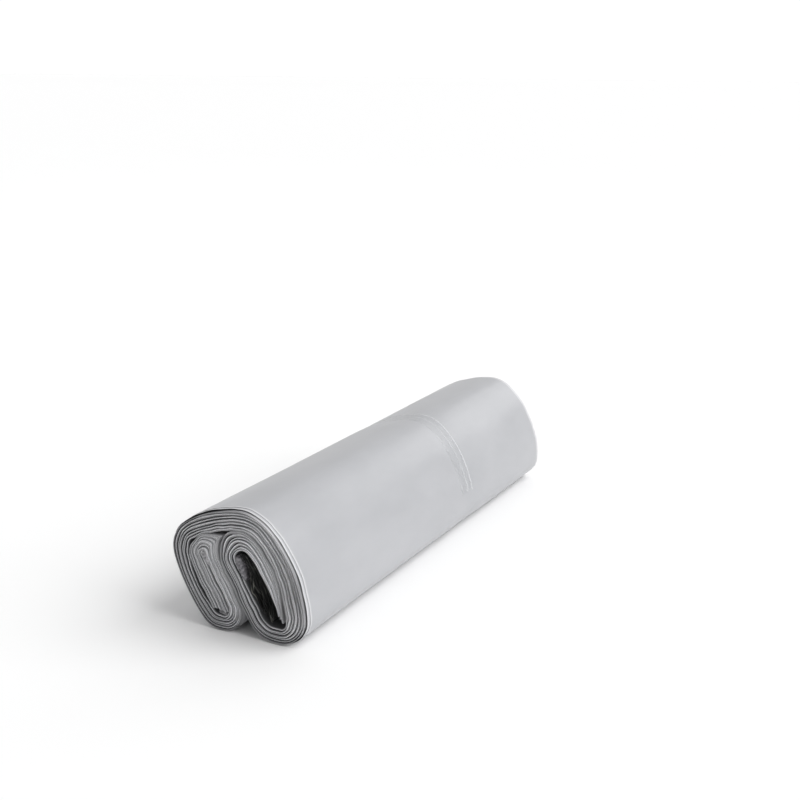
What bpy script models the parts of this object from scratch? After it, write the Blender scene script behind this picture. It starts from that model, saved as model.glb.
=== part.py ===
# A pack of poly mailers: a flat stack of film bags, folded in from both sides into a
# double scroll with two lobes, and held shut by a strip of clear tape.
# Section plane XZ, roll axis along Y, origin under the middle of the roll. Metres, +Z up.

import math

import bmesh
import bpy
from mathutils import Vector

MM = 0.001

# Driving dimensions
MAILER_WIDTH = 380.0 * MM        # width of one bag, which is the length of the roll
STACK_THICKNESS = 11.0 * MM      # the whole stack of bags, pressed flat
FOLD_GAP = 0.4 * MM              # air between one turn of the stack and the next
POCKET_HALF_WIDTH = 5.7 * MM     # the hollow that the right-hand scroll is folded round
POCKET_RUN = 38.0 * MM           # length of that hollow between its two round ends
POCKET_BOW = math.radians(40.0)  # how far its right-hand wall bows out
CORE_HALF_SLIT = 0.3 * MM        # the left-hand scroll is pressed flat, almost no hollow
CORE_RUN = 35.5 * MM             # straight length of the left-hand scroll
POCKET_TAIL = 1.0 * MM           # how far the inner end stops above the pocket's last turn
CORE_TAIL = 2.5 * MM             # the same at the left-hand inner end
POCKET_SLACK = 3.5 * MM          # how far the outer turn stands off over the pocket
CORE_SLACK = 1.5 * MM            # and over the left-hand scroll
LEAN = math.radians(29.0)        # both scrolls lean over to the left
FLAT_SPOT = 4.0 * MM             # soft turns flatten where they lie on the ground
SIDE_BOW = math.radians(44.0)    # how far the loose outer turn bows on the right
TOP_BOW = math.radians(30.0)     # over the top
LEFT_BOW = math.radians(24.0)    # and on the left
PLY_COUNT = 7                    # bundles of bags that show as ridges on each end
PLY_GROOVE = 1.1 * MM            # depth of the groove between two bundles
PLY_STAGGER = 0.8 * MM           # how far one bundle may stand back from the next
PLY_SHOULDER = 0.2               # share of a bundle's thickness that rounds into a groove
TAPE_WIDTH = 18.0 * MM
TAPE_THICKNESS = 0.3 * MM
TAPE_GAP = 0.3 * MM              # clearance under the tape
TAPE_PLACE = 236.0 * MM          # middle of the tape, measured from the near end
TAPE_RIGHT_SHARE = 0.88          # how much of the right side bow the tape covers
TAPE_LEFT_SHARE = 0.55           # and of the left one
FACET_SAG = 0.08 * MM            # how far a flat facet may cut inside its turn

# Distances of the outer face of each turn from the middle of its scroll
POCKET_TURN = POCKET_HALF_WIDTH + STACK_THICKNESS
POCKET_WRAP = POCKET_TURN + FOLD_GAP + STACK_THICKNESS
CORE_TURN = CORE_HALF_SLIT + STACK_THICKNESS
CORE_WRAP = CORE_TURN + FOLD_GAP + STACK_THICKNESS

QUARTER = math.pi / 2
PLY_STRIDE = 3                   # steps through the bundles, so that neighbours differ
SHARP_ANGLE = math.radians(30.0)
GREY_FILM = (0.57, 0.57, 0.60)
CLEAR_TAPE = (0.78, 0.79, 0.80)


def across(distance):
    """Step at right angles to the leaning scrolls, to the right."""
    return Vector((math.cos(LEAN), 0.0, math.sin(LEAN))) * distance


def along(distance):
    """Step up along the leaning scrolls."""
    return Vector((-math.sin(LEAN), 0.0, math.cos(LEAN))) * distance


def outward(angle):
    return Vector((math.cos(angle), 0.0, math.sin(angle)))


def angle_of(direction):
    return math.atan2(direction.z, direction.x) % (2 * math.pi)


def bowed_link(first, first_radius, last, last_radius, bow):
    """Circle that runs tangent round two turns and bows out between them by an angle."""
    span = last - first
    distance = span.length
    step = first_radius - last_radius
    rest = 2 * (distance ** 2 - step ** 2) / (1 - math.cos(bow))
    reach = (math.sqrt(step ** 2 + rest) - step) / 2
    other_reach = reach + step
    forward = (reach ** 2 - other_reach ** 2 + distance ** 2) / (2 * distance)
    sideways = math.sqrt(reach ** 2 - forward ** 2)
    ahead = span.normalized()
    left = Vector((-ahead.z, 0.0, ahead.x))
    return first + ahead * forward + left * sideways, reach + first_radius


def fold_turns():
    """The stack's outer face as a chain of turns: centre, radius, first and last angle."""
    lean_out = LEAN                      # angle that faces right, square to the scrolls
    lean_in = LEAN + math.pi
    down = 3 * QUARTER
    flat_share = FLAT_SPOT * math.cos(LEAN)
    right_radius = (POCKET_TURN + POCKET_WRAP - flat_share) / 2
    left_radius = (CORE_TURN + CORE_WRAP - flat_share) / 2

    # The two lowest turns both lie on the ground, which sets the scrolls' heights.
    right_first = Vector((0.0, 0.0, right_radius))
    pocket_low = right_first + across(POCKET_TURN - right_radius)
    separation = POCKET_TURN + FOLD_GAP + CORE_TURN
    core_line = pocket_low - across(separation)
    left_from_core = across(left_radius - CORE_WRAP)
    drop = (core_line + left_from_core).z - left_radius
    core_low = core_line - along(drop / math.cos(LEAN))
    left_first = core_low + left_from_core

    flat = Vector((FLAT_SPOT, 0.0, 0.0))
    pocket_top = pocket_low + along(POCKET_RUN)
    core_top = core_low + along(CORE_RUN)
    right_last = right_first + flat
    pocket_crown = pocket_top + along(POCKET_SLACK) + across(POCKET_SLACK)
    core_crown = core_top + along(CORE_SLACK)
    side, side_radius = bowed_link(
        right_last, right_radius, pocket_crown, POCKET_WRAP, SIDE_BOW)
    top, top_radius = bowed_link(pocket_crown, POCKET_WRAP, core_crown, CORE_WRAP, TOP_BOW)
    left, left_side_radius = bowed_link(
        core_crown, CORE_WRAP, left_first, left_radius, LEFT_BOW)
    wall, wall_radius = bowed_link(pocket_low, POCKET_TURN, pocket_top, POCKET_TURN, POCKET_BOW)

    side_from = angle_of(right_last - side)
    side_to = angle_of(pocket_crown - side)
    top_from = angle_of(pocket_crown - top)
    top_to = angle_of(core_crown - top)
    left_from = angle_of(core_crown - left)
    left_to = angle_of(left_first - left)
    if side_from > side_to:
        side_from -= 2 * math.pi

    wall_from = lean_out - POCKET_BOW / 2 + POCKET_TAIL / wall_radius
    wall_to = lean_out + POCKET_BOW / 2
    core_end = core_low + along(CORE_TAIL)
    turns = {
        "pocket wall": (wall, wall_radius, wall_from, wall_to),
        "pocket top": (pocket_top, POCKET_TURN, wall_to, lean_in),
        "pocket bottom": (right_first, right_radius, lean_in, down),
        "right corner": (right_last, right_radius, down, side_from + 2 * math.pi),
        "right side": (side, side_radius, side_from, side_to),
        "right shoulder": (pocket_crown, POCKET_WRAP, side_to, top_from),
        "top": (top, top_radius, top_from, top_to),
        "left shoulder": (core_crown, CORE_WRAP, top_to, left_from),
        "left side": (left, left_side_radius, left_from, left_to),
        "left bottom": (left_first, left_radius, left_to, down),
        "left corner": (left_first + flat, left_radius, down, lean_out + 2 * math.pi),
        "core top": (core_top, CORE_TURN, lean_out, lean_in),
        "core end": (core_end, CORE_TURN, lean_in, lean_in),
    }
    return centred(turns)


def centred(turns):
    """Move the turns sideways so that the roll's middle stands over the origin."""
    rightmost = max(c.x + r for c, r, a, b in turns.values() if a <= 0.0 <= b or b > 2 * math.pi)
    leftmost = min(c.x - r for c, r, a, b in turns.values() if a <= math.pi <= b)
    shift = Vector((-(leftmost + rightmost) / 2, 0.0, 0.0))
    return {name: (c + shift, r, a, b) for name, (c, r, a, b) in turns.items()}


def sweep(name, section, turns):
    """Carry a section along the turns. Its points are (height above the rail, Y)."""
    bm = bmesh.new()
    centre, radius, angle, last_angle = turns[0]
    corners = [bm.verts.new(centre + outward(angle) * (radius + height) + Vector((0.0, y, 0.0)))
               for height, y in section]
    face = bm.faces.new(corners)
    end = [face, *face.edges, *face.verts]
    place = centre + outward(angle) * radius
    for centre, radius, angle, last_angle in turns:
        entry = centre + outward(angle) * radius
        if (entry - place).length > FACET_SAG:
            end = bmesh.ops.extrude_face_region(bm, geom=end)["geom"]
            moved = [item for item in end if isinstance(item, bmesh.types.BMVert)]
            bmesh.ops.translate(bm, verts=moved, vec=entry - place)
        turned = last_angle - angle
        if turned > 0:
            facet = 2 * math.acos(1 - FACET_SAG / radius)
            steps = max(2, math.ceil(turned / facet))
            end = bmesh.ops.spin(bm, geom=end, cent=centre, axis=(0.0, -1.0, 0.0),
                                 angle=turned, steps=steps, use_duplicate=False)["geom_last"]
        place = centre + outward(last_angle) * radius
    bmesh.ops.recalc_face_normals(bm, faces=bm.faces)
    mesh = bpy.data.meshes.new(name)
    bm.to_mesh(mesh)
    bm.free()
    mesh.shade_smooth()
    mesh.set_sharp_from_angle(angle=SHARP_ANGLE)
    return mesh


def ridged_edge(end):
    """One cut end of the stack: a ridge for each bundle of bags, no two quite flush."""
    pitch = STACK_THICKNESS / PLY_COUNT
    shoulder = pitch * PLY_SHOULDER
    full = MAILER_WIDTH / 2
    valley = full - PLY_STAGGER - PLY_GROOVE
    points = [(0.0, end * (full - shoulder))]
    for ply in range(PLY_COUNT):
        tip = full - PLY_STAGGER * (ply * PLY_STRIDE % PLY_COUNT) / PLY_COUNT
        points.append((-ply * pitch - shoulder, end * tip))
        points.append((-(ply + 1) * pitch + shoulder, end * tip))
        if ply < PLY_COUNT - 1:
            points.append((-(ply + 1) * pitch, end * valley))
    points.append((-STACK_THICKNESS, end * (full - PLY_STAGGER - shoulder)))
    return points


def mailers(turns):
    section = ridged_edge(-1) + list(reversed(ridged_edge(1)))
    return sweep("rolled_mailers", section, list(turns.values()))


def tape(turns):
    """Clear strip over the top, from one side to the other, that never reaches the ground."""
    side, side_radius, side_from, side_to = turns["right side"]
    left, left_radius, left_from, left_to = turns["left side"]
    covered = [
        (side, side_radius, side_to - TAPE_RIGHT_SHARE * (side_to - side_from), side_to),
        turns["right shoulder"],
        turns["top"],
        turns["left shoulder"],
        (left, left_radius, left_from, left_from + TAPE_LEFT_SHARE * (left_to - left_from)),
    ]
    middle = TAPE_PLACE - MAILER_WIDTH / 2
    near = middle - TAPE_WIDTH / 2
    far = middle + TAPE_WIDTH / 2
    under = TAPE_GAP
    over = TAPE_GAP + TAPE_THICKNESS
    return sweep("closing_tape", [(under, near), (over, near), (over, far), (under, far)], covered)


def finish(name, colour, roughness, alpha):
    material = bpy.data.materials.new(name)
    material.use_nodes = True
    shader = material.node_tree.nodes["Principled BSDF"]
    shader.inputs["Base Color"].default_value = (*colour, 1.0)
    shader.inputs["Roughness"].default_value = roughness
    shader.inputs["Metallic"].default_value = 0.0
    shader.inputs["Alpha"].default_value = alpha
    return material


def add_part(collection, mesh, material):
    part = bpy.data.objects.new(mesh.name, mesh)
    mesh.materials.append(material)
    collection.objects.link(part)
    return part


def main():
    for old in list(bpy.data.objects):
        bpy.data.objects.remove(old, do_unlink=True)
    collection = bpy.data.collections.new("poly_mailer_roll")
    bpy.context.scene.collection.children.link(collection)
    turns = fold_turns()
    add_part(collection, mailers(turns), finish("grey_film", GREY_FILM, 0.32, 1.0))
    add_part(collection, tape(turns), finish("clear_tape", CLEAR_TAPE, 0.12, 0.35))


main()
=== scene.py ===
# %% [markdown]
# A roll of poly mailers. About a hundred film bags lie flat on each other, and the stack
# is folded in from both sides, so that each end shows a double scroll: two lobes side by
# side, the left one pressed flat, the right one folded round a small hollow. A strip of
# clear tape holds the loose turn shut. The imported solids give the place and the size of
# everything, and this script dresses them as real film.

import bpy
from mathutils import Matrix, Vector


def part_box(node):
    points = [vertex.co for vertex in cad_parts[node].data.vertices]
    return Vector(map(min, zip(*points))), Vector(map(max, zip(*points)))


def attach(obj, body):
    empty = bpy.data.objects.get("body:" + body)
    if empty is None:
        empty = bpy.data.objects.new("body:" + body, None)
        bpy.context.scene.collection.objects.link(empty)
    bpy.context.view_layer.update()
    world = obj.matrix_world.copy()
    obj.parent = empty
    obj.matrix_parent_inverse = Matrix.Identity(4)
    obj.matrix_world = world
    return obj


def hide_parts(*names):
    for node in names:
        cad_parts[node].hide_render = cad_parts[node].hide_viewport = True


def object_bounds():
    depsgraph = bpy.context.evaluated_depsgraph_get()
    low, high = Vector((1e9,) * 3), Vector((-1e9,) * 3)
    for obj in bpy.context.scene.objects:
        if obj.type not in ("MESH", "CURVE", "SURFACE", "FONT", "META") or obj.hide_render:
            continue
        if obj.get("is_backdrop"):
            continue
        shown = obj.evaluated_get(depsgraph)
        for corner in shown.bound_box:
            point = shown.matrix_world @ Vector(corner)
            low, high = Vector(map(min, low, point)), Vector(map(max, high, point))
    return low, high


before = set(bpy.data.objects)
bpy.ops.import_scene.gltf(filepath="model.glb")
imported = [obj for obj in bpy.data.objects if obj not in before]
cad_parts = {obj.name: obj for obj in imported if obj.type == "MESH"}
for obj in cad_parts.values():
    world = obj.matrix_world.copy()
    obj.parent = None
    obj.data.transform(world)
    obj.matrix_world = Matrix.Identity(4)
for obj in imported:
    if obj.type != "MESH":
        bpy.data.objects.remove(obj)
cad_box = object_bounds()
print("nodes:", list(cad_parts), "box in m:", cad_box)

# %% Helpers that every cell uses
import math
import random

import bmesh
import bpy
from mathutils import Matrix, Vector, noise

MM = 0.001
random.seed(7)
noise.seed_set(23)


def add_object(name, data):
    """New object at the origin, linked to the scene."""
    made = bpy.data.objects.new(name, data)
    bpy.context.scene.collection.objects.link(made)
    return made


def blend(low, high, share):
    return low + (high - low) * share


def smooth(share):
    """Ease from 0 to 1 with no kink at either end."""
    share = min(1.0, max(0.0, share))
    return share * share * (3.0 - 2.0 * share)


def ripple(x, y, seed):
    """Soft noise between about -1 and 1 for two lengths measured in wavelengths."""
    return noise.noise(Vector((x, y, seed)))


# %% [markdown]
# The camera stands where the photographer stood. The long edges of the roll run together
# to one far-off point, and that point gives the pitch, the turn and the lens. The camera
# is then put so that the near end of the roll falls on its pixel in the photograph.

# %% Camera
PHOTO_SIZE = 800.0
FOCAL_PIXELS = 1260.0
SENSOR_WIDTH = 36.0
VIEW_TURN = math.radians(28.16)
VIEW_PITCH = math.radians(15.52)
NEAR_END_PIXEL = (236.5, 573.5)
NEAR_END_DEPTH = 0.794

near_end = Vector((0.0, cad_box[0][1], (cad_box[0][2] + cad_box[1][2]) / 2))
forward = Vector((-math.sin(VIEW_TURN) * math.cos(VIEW_PITCH),
                  math.cos(VIEW_TURN) * math.cos(VIEW_PITCH), -math.sin(VIEW_PITCH)))
rightward = Vector((math.cos(VIEW_TURN), math.sin(VIEW_TURN), 0.0))
upward = rightward.cross(forward)
sideways = (NEAR_END_PIXEL[0] - PHOTO_SIZE / 2) / FOCAL_PIXELS * NEAR_END_DEPTH
upwards = (PHOTO_SIZE / 2 - NEAR_END_PIXEL[1]) / FOCAL_PIXELS * NEAR_END_DEPTH
eye = near_end - forward * NEAR_END_DEPTH - rightward * sideways - upward * upwards

camera_data = bpy.data.cameras.new("photo_camera")
camera_data.sensor_width = SENSOR_WIDTH
camera_data.lens = SENSOR_WIDTH * FOCAL_PIXELS / PHOTO_SIZE
camera_data.clip_start = 0.01
camera_data.clip_end = 50.0
camera = add_object("photo_camera", camera_data)
turn = Matrix((rightward, upward, -forward)).transposed().to_4x4()
camera.matrix_world = Matrix.Translation(eye) @ turn
bpy.context.scene.camera = camera
print("camera at", [round(v, 3) for v in eye], "lens", round(camera_data.lens, 1), "mm")

# %% [markdown]
# The fold. Seen from the end, the stack's outer face is a chain of round turns, some
# joined by straight runs and the loose outer ones by wide bows. The solids were made on
# this same chain, so the driving sizes are repeated here and the chain is worked out
# again. Every film is then drawn flat, as a grid, and each of its points is carried to
# its place on the chain, which is just how a real sheet gets there.

# %% Driving sizes of the fold
STACK_THICKNESS = 11.0 * MM
FOLD_GAP = 0.4 * MM
POCKET_HALF_WIDTH = 5.7 * MM
POCKET_RUN = 38.0 * MM
POCKET_BOW = math.radians(40.0)
CORE_HALF_SLIT = 0.3 * MM
CORE_RUN = 35.5 * MM
POCKET_TAIL = 1.0 * MM
CORE_TAIL = 2.5 * MM
POCKET_SLACK = 3.5 * MM
CORE_SLACK = 1.5 * MM
LEAN = math.radians(29.0)
FLAT_SPOT = 4.0 * MM
SIDE_BOW = math.radians(44.0)
TOP_BOW = math.radians(30.0)
LEFT_BOW = math.radians(24.0)
TAPE_WIDTH = 18.0 * MM
TAPE_PLACE = 236.0 * MM

POCKET_TURN = POCKET_HALF_WIDTH + STACK_THICKNESS
POCKET_WRAP = POCKET_TURN + FOLD_GAP + STACK_THICKNESS
CORE_TURN = CORE_HALF_SLIT + STACK_THICKNESS
CORE_WRAP = CORE_TURN + FOLD_GAP + STACK_THICKNESS
HALF_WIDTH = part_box("rolled_mailers")[1][1]


# %% The chain of turns
def across(distance):
    return Vector((math.cos(LEAN), 0.0, math.sin(LEAN))) * distance


def along(distance):
    return Vector((-math.sin(LEAN), 0.0, math.cos(LEAN))) * distance


def outward(angle):
    return Vector((math.cos(angle), 0.0, math.sin(angle)))


def angle_of(direction):
    return math.atan2(direction.z, direction.x) % (2 * math.pi)


def bowed_link(first, first_radius, last, last_radius, bow):
    """Circle that runs tangent round two turns and bows out between them by an angle: its
    centre, its radius, and the angles where it leaves the first and meets the last."""
    span = last - first
    distance = span.length
    step = first_radius - last_radius
    rest = 2 * (distance ** 2 - step ** 2) / (1 - math.cos(bow))
    reach = (math.sqrt(step ** 2 + rest) - step) / 2
    forwards = (reach ** 2 - (reach + step) ** 2 + distance ** 2) / (2 * distance)
    ahead = span.normalized()
    left = Vector((-ahead.z, 0.0, ahead.x))
    centre = first + ahead * forwards + left * math.sqrt(reach ** 2 - forwards ** 2)
    return centre, reach + first_radius, angle_of(first - centre), angle_of(last - centre)


def fold_turns():
    """Centre, radius, first and last angle of each turn, from the pocket's end onwards."""
    down = math.radians(270.0)
    lean_in = LEAN + math.pi
    flat_share = FLAT_SPOT * math.cos(LEAN)
    right_radius = (POCKET_TURN + POCKET_WRAP - flat_share) / 2
    left_radius = (CORE_TURN + CORE_WRAP - flat_share) / 2
    right_first = Vector((0.0, 0.0, right_radius))
    pocket_low = right_first + across(POCKET_TURN - right_radius)
    core_line = pocket_low - across(POCKET_TURN + FOLD_GAP + CORE_TURN)
    drop = (core_line + across(left_radius - CORE_WRAP)).z - left_radius
    core_low = core_line - along(drop / math.cos(LEAN))
    left_first = core_low + across(left_radius - CORE_WRAP)
    flat = Vector((FLAT_SPOT, 0.0, 0.0))
    right_last = right_first + flat
    pocket_top = pocket_low + along(POCKET_RUN)
    core_top = core_low + along(CORE_RUN)
    pocket_crown = pocket_top + along(POCKET_SLACK) + across(POCKET_SLACK)
    core_crown = core_top + along(CORE_SLACK)
    side = bowed_link(right_last, right_radius, pocket_crown, POCKET_WRAP, SIDE_BOW)
    top = bowed_link(pocket_crown, POCKET_WRAP, core_crown, CORE_WRAP, TOP_BOW)
    left = bowed_link(core_crown, CORE_WRAP, left_first, left_radius, LEFT_BOW)
    wall, wall_radius = bowed_link(pocket_low, POCKET_TURN, pocket_top, POCKET_TURN,
                                   POCKET_BOW)[:2]
    wall_from = LEAN - POCKET_BOW / 2 + POCKET_TAIL / wall_radius
    wall_to = LEAN + POCKET_BOW / 2
    return {
        "pocket wall": (wall, wall_radius, wall_from, wall_to),
        "pocket top": (pocket_top, POCKET_TURN, wall_to, lean_in),
        "pocket bottom": (right_first, right_radius, lean_in, down),
        "right corner": (right_last, right_radius, down, side[2] + 2 * math.pi),
        "right side": side,
        "right shoulder": (pocket_crown, POCKET_WRAP, side[3], top[2]),
        "top": top,
        "left shoulder": (core_crown, CORE_WRAP, top[3], left[2]),
        "left side": left,
        "left bottom": (left_first, left_radius, left[3], down),
        "left corner": (left_first + flat, left_radius, down, LEAN + 2 * math.pi),
        "core top": (core_top, CORE_TURN, LEAN, lean_in),
        "core end": (core_low + along(CORE_TAIL), CORE_TURN, lean_in, lean_in),
    }


turns = fold_turns()
reaches = [c.x + r for c, r, a, b in turns.values() if a <= 0.0 <= b or b > 2 * math.pi]
starts = [c.x - r for c, r, a, b in turns.values() if a <= math.pi <= b]
middle = Vector(((max(reaches) + min(starts)) / 2, 0.0, 0.0))
turns = {name: (c - middle, r, a, b) for name, (c, r, a, b) in turns.items()}
print("outer face from x =", round(min(starts) - middle.x, 4),
      "to", round(max(reaches) - middle.x, 4))


# %% Stations along the chain
class Station:
    """One place on the stack's outer face: where, which way is out, and how far along."""

    def __init__(self, point, angle, travelled, stretch):
        self.point = point
        self.angle = angle
        self.travelled = travelled
        self.stretch = stretch

    def at(self, height, y):
        place = self.point + outward(self.angle) * height
        return Vector((place.x, y, place.z))


def stations_along(first, last, sag, longest):
    """Stations from one named turn to another, close enough to look round."""
    names = list(turns)
    chosen = names[names.index(first):names.index(last) + 1]
    stations = []
    travelled = 0.0
    for name in chosen:
        centre, radius, start, end = turns[name]
        entry = centre + outward(start) * radius
        if stations:
            gap = (entry - stations[-1].point).length
            pieces = math.ceil(gap / longest) if gap > sag else 0
            exit_point = stations[-1].point.copy()
            for k in range(1, pieces):
                share = k / pieces
                stations.append(Station(exit_point.lerp(entry, share), start,
                                        travelled + gap * share, "run to " + name))
            travelled += gap
            if pieces == 0:
                stations.pop()
        facet = min(2 * math.acos(1 - sag / radius), longest / radius)
        pieces = max(1, math.ceil((end - start) / facet))
        for k in range(pieces + 1 if end > start else 1):
            angle = blend(start, end, k / pieces)
            stations.append(Station(centre + outward(angle) * radius, angle,
                                    travelled + radius * (angle - start), name))
        travelled += radius * (end - start)
    return stations


def ahead_of(station):
    """The direction along the fold at one station."""
    return Vector((-math.sin(station.angle), 0.0, math.cos(station.angle)))


def run_on(station, direction, length, steps):
    """More stations in a straight line from one end of the chain."""
    added = []
    for k in range(1, steps + 1):
        reach = length * k / steps
        added.append(Station(station.point + ahead_of(station) * direction * reach, station.angle,
                             station.travelled + direction * reach, station.stretch))
    return added


FOLD_SAG = 0.03 * MM
FOLD_STEP = 2.4 * MM
WALL_EXTRA, WALL_STEPS = 6.0 * MM, 4
CORE_EXTRA, CORE_STEPS = 8.5 * MM, 6
whole_fold = stations_along("pocket wall", "core end", FOLD_SAG, FOLD_STEP)
whole_fold = (run_on(whole_fold[0], -1, WALL_EXTRA, WALL_STEPS)[::-1] + whole_fold
              + run_on(whole_fold[-1], 1, CORE_EXTRA, CORE_STEPS))
print(len(whole_fold), "stations over", round(whole_fold[-1].travelled, 3), "m of stack")


# %% Stations between stations
RIDGE_ANGLE = math.radians(20.0)
RIDGE_FINE = (-14.0 * MM, 22.0 * MM)
RIDGE_PIECES = 3


def span_of(name):
    places = [s.travelled for s in whole_fold if s.stretch == name]
    return min(places), max(places)


def between_stations(first, last, share):
    swing = (last.angle - first.angle + math.pi) % (2 * math.pi) - math.pi
    return Station(first.point.lerp(last.point, share), first.angle + swing * share,
                   blend(first.travelled, last.travelled, share), last.stretch)


def station_at(travelled):
    """A new station at one exact distance along the fold."""
    pairs = zip(whole_fold, whole_fold[1:])
    first, last = next(p for p in pairs if p[0].travelled <= travelled <= p[1].travelled)
    return between_stations(first, last, (travelled - first.travelled)
                            / (last.travelled - first.travelled))


ridge_middle = span_of("core top")[0] + RIDGE_ANGLE * CORE_TURN
finer = [whole_fold[0]]
for first, last in zip(whole_fold, whole_fold[1:]):
    if RIDGE_FINE[0] < first.travelled - ridge_middle < RIDGE_FINE[1]:
        finer += [between_stations(first, last, k / RIDGE_PIECES) for k in range(1, RIDGE_PIECES)]
    finer.append(last)
whole_fold = finer
print(len(whole_fold), "stations with the finer ones at the ridge")


# %% [markdown]
# Where the sheets settle. The solid's fold is too perfect, so every film is carried along
# by one soft field of small shifts, the same for all of them, which keeps neighbours
# apart while the whole roll goes slightly out of true. The shift is set at both ends of
# the roll and runs straight between them, as stiff flat film does. Three things go
# further, as on the real roll: over the left scroll the outer films rise to a ridge
# between the two lobes, swells lift films off the tops of both scrolls and press them in
# along the pocket's wall, and small crumples fill the folds.

# %% The settling field
SETTLE_SIZE = 0.75 * MM
SETTLE_WAVE = 22.0 * MM
SETTLE_SEEDS = (0.3, 9.7)
GROUND_CALM = 9.0 * MM
CRUMPLE_SIZE = 0.62 * MM
CRUMPLE_WAVE = 7.0 * MM
CRUMPLE_SEEDS = (2.5, 5.521)
RIDGE = Vector((-9.3, 0.0, 67.0)) * MM
RIDGE_SHARE = 0.85
RIDGE_BEFORE, RIDGE_AFTER = 6.5 * MM, 15.0 * MM
RIDGE_FALLOFF = 2.2
# Turn, middle and spread in degrees, rise, and how fast it fades towards inner films.
SWELLS = [
    ("core top", 118.0, 46.0, 3.6 * MM, 1.5),
    ("pocket top", 84.0, 40.0, 2.6 * MM, 1.3),
    ("pocket top", 128.0, 22.0, 2.8 * MM, 2.0),
    ("pocket wall", 7.0, 19.0, -6.4 * MM, 0.0),
]


def soft_shift(point, wave, seed):
    """Soft noise with a value for each axis, the same along the whole roll."""
    return noise.noise_vector(Vector((point.x, point.z, seed)) / wave)


def settle(point, y):
    """Shift one point by the soft fields of both ends, and not upwards on the ground."""
    share = (y + HALF_WIDTH) / (2 * HALF_WIDTH)
    near, far = (soft_shift(point, SETTLE_WAVE, seed) for seed in SETTLE_SEEDS)
    shift = near.lerp(far, share) * SETTLE_SIZE
    calm = smooth(point.z / GROUND_CALM)
    return Vector((point.x + shift.x, point.y, point.z + shift.z * calm))


def ridge_pull(station, outerness):
    """How far a film of the left scroll is drawn up to the ridge between the lobes."""
    off = station.travelled - ridge_middle
    spread = RIDGE_BEFORE if off < 0 else RIDGE_AFTER
    return RIDGE_SHARE * math.exp(-(off / spread) ** 2) * outerness ** RIDGE_FALLOFF


def swell_place(stretch, angle, spread):
    """Middle and reach of a swell as distances along the fold, from angles on its turn."""
    radius, start = turns[stretch][1:3]
    entry = min(s.travelled for s in whole_fold if s.stretch == stretch and s.travelled >= 0.0)
    return entry + (math.radians(angle) - start) * radius, math.radians(spread) * radius


swell_places = [(*swell_place(stretch, angle, spread), rise, falloff)
                for stretch, angle, spread, rise, falloff in SWELLS]


def swell(station, outerness):
    """How far a film stands off its turn."""
    return sum(rise * math.exp(-((station.travelled - middle) / reach) ** 2) * outerness ** falloff
               for middle, reach, rise, falloff in swell_places)


def film_point(station, height, y):
    """Place of a film at one height over the fold. Outerness is 1 for the outermost film."""
    outerness = min(1.0, max(0.0, 1.0 + height / STACK_THICKNESS))
    place = station.at(height + swell(station, outerness), y)
    top = Vector((RIDGE.x, y, RIDGE.z))
    place = settle(place.lerp(top, ridge_pull(station, outerness)), y)
    fine = soft_shift(place, CRUMPLE_WAVE, CRUMPLE_SEEDS[y > 0])
    loose = (1.0 - station.room * outerness) * smooth(place.z / GROUND_CALM)
    return place + Vector((fine.x, 0.0, fine.z)) * CRUMPLE_SIZE * loose


# %% [markdown]
# The stack. From a step away its ends show seven bundles, with a dark gap between one
# bundle and the next, and close up each bundle is a sheaf of films. Each film starts as
# a flat grid, one face wide and one station per column, and Solidify gives it its
# thickness while it is still flat. Then every corner is carried to its place. Films
# stand back by different amounts, so the cut ends are ragged as real ones are.

# %% The bundles of film
BUNDLES = 7
FILMS_PER_BUNDLE = 5
BUNDLE_GAP = 0.20 * MM
GAP_GROWTH = 1.8
GAP_RIPPLE, GAP_WAVE = 0.8, 17.0 * MM
BUNDLE_DRIFT, DRIFT_WAVE = 0.42, 30.0 * MM
FILM_SHARE = 0.74
BUNDLE_STAGGER = 1.3 * MM
BUNDLE_STRIDE = 3
BUNDLE_ROUND = 0.7 * MM
FILM_RAGGED = 0.55 * MM
END_WAVE, END_WAVE_LENGTH = 0.7 * MM, 30.0 * MM
OUTER_ROOM = 0.62 * MM
WALL_TAPER = 6.0 * MM
PINCH_REACH = 37.0 * MM
PINCH_SHARE = 0.24
CORE_SHORT = 6.5 * MM
WALL_SHIFT, CORE_SHIFT = 0.25 * MM, 1.5 * MM
CLEAR_STEP = 0.3 * MM
CORE_GAP_SHARES = [1.0, 0.3, 0.9, 0.2, 0.35, 1.0, 0.25, 0.3]
ROOM_RAMP = 14.0 * MM
OUTSIDE = (span_of("pocket bottom")[0] - ROOM_RAMP, span_of("left corner")[1] + ROOM_RAMP)
# Turn, share of the way along it, and the stack's thickness there against pressed flat.
LOOSENESS = [("pocket bottom", 0.5, 1.0), ("right corner", 0.1, 1.02), ("right corner", 0.8, 1.42),
             ("right side", 0.2, 1.56), ("right side", 0.7, 1.42), ("right shoulder", 0.5, 1.32),
             ("top", 0.5, 1.27), ("left shoulder", 0.6, 1.10), ("left side", 0.4, 1.0)]

# %% How loose the stack is
def outside(station):
    """1 where the stack's face is the outside of the roll, 0 in the folds."""
    first, last = OUTSIDE
    into = (station.travelled - first) / ROOM_RAMP
    out = (last - station.travelled) / ROOM_RAMP
    return smooth(into) * smooth(out)


def looseness(station):
    """How much thicker than pressed flat the stack is at one place of the outer turn."""
    marks = [(blend(*span_of(name), share), value) for name, share, value in LOOSENESS]
    for (first, low), (last, high) in zip(marks, marks[1:]):
        if first <= station.travelled <= last:
            return blend(low, high, smooth((station.travelled - first) / (last - first)))
    return 1.0


def pinch(station):
    """The stack is squeezed thin where it ends in the pocket."""
    along_wall = (station.travelled - whole_fold[0].travelled) / PINCH_REACH
    return blend(PINCH_SHARE, 1.0, smooth(along_wall)) if along_wall < 1.0 else 1.0


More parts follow.
